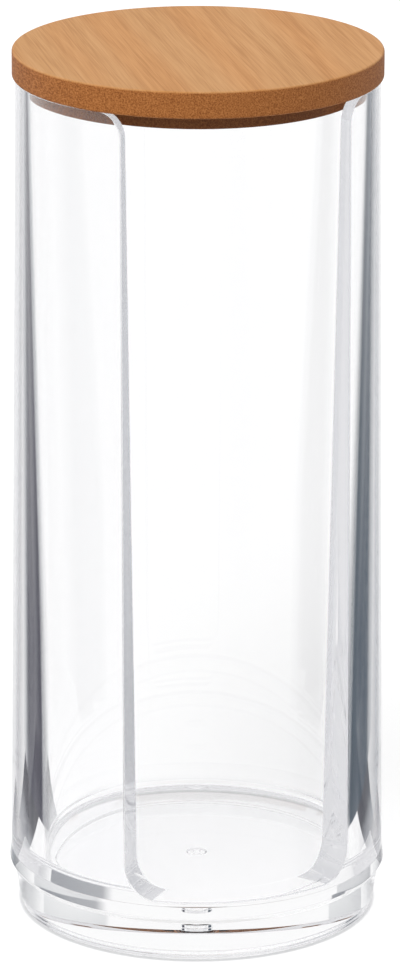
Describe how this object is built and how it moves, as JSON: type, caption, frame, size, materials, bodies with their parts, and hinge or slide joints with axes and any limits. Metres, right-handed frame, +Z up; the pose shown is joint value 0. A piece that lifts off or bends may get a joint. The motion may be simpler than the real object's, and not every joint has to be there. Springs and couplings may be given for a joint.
{
  "type": "cotton pad holder",
  "caption": "Clear cylindrical cotton pad holder with an open front slot, a stepped solid base and a lift-off bamboo lid with a spigot.",
  "frame": {"origin": "centre of the holder's footprint, on the surface it stands on", "axes": "+Z up along the tube's axis, the open slot faces -Y, X to the sides"},
  "size_m": [0.0764, 0.0764, 0.1784],
  "materials": {
    "clear_plastic": "clear, polished",
    "bamboo": "fine sanded, satin"
  },
  "bodies": {
    "holder": {"clear_holder": "clear_plastic"},
    "lid": {"bamboo_lid": "bamboo"}
  },
  "joints": [
    {"name": "lid_lift", "type": "slide", "parent": "holder", "child": "lid", "axis": [0, 0, 1], "range_m": [0, 0.06]}
  ]
}
